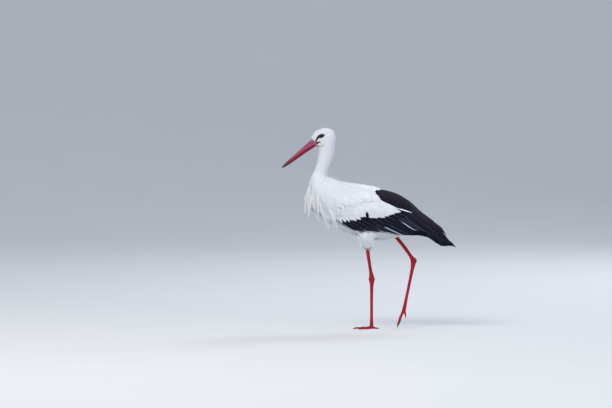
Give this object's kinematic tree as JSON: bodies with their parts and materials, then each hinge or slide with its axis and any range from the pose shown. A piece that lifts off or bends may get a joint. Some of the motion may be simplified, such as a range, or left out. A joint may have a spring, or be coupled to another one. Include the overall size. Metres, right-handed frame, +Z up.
{
  "type": "stork",
  "caption": "Life-size white stork model in mid-stride: long pointed bill, slim neck, shaggy breast, folded wings and thin legs, standing on one foot as the other lifts off.",
  "frame": {"origin": "the middle of the base of the stork's bounding box, on the floor", "axes": "+Z up, -X the way the bird walks and its bill points, -Y its left side, +Y its right side"},
  "size_m": [0.7578, 0.1916, 0.8744],
  "materials": {
    "white_plumage": "matte",
    "black_plumage": "satin",
    "bill_horn": "satin",
    "eye": "gloss",
    "leg_skin": "satin",
    "claw_horn": "satin"
  },
  "bodies": {
    "root": {"bill_lower": "bill_horn", "bill_upper": "bill_horn", "breast": "white_plumage", "claw_left_hind": "claw_horn", "claw_left_inner": "claw_horn", "claw_left_middle": "claw_horn", "claw_left_outer": "claw_horn", "claw_right_hind": "claw_horn", "claw_right_inner": "claw_horn", "claw_right_middle": "claw_horn", "claw_right_outer": "claw_horn", "eye_left": "eye", "eye_right": "eye", "head": "white_plumage", "neck_lower": "white_plumage", "neck_upper": "white_plumage", "tail": "white_plumage", "tarsus_left": "leg_skin", "tarsus_right": "leg_skin", "thigh_left": "white_plumage", "thigh_right": "white_plumage", "tibia_left": "leg_skin", "tibia_right": "leg_skin", "toe_left_hind": "leg_skin", "toe_left_inner": "leg_skin", "toe_left_middle": "leg_skin", "toe_left_outer": "leg_skin", "toe_right_hind": "leg_skin", "toe_right_inner": "leg_skin", "toe_right_middle": "leg_skin", "toe_right_outer": "leg_skin", "trunk": "white_plumage", "wing_left_coverts": "white_plumage", "wing_left_primaries": "black_plumage", "wing_left_scapulars": "black_plumage", "wing_left_secondaries": "black_plumage", "wing_right_coverts": "white_plumage", "wing_right_primaries": "black_plumage", "wing_right_scapulars": "black_plumage", "wing_right_secondaries": "black_plumage"}
  },
  "joints": []
}
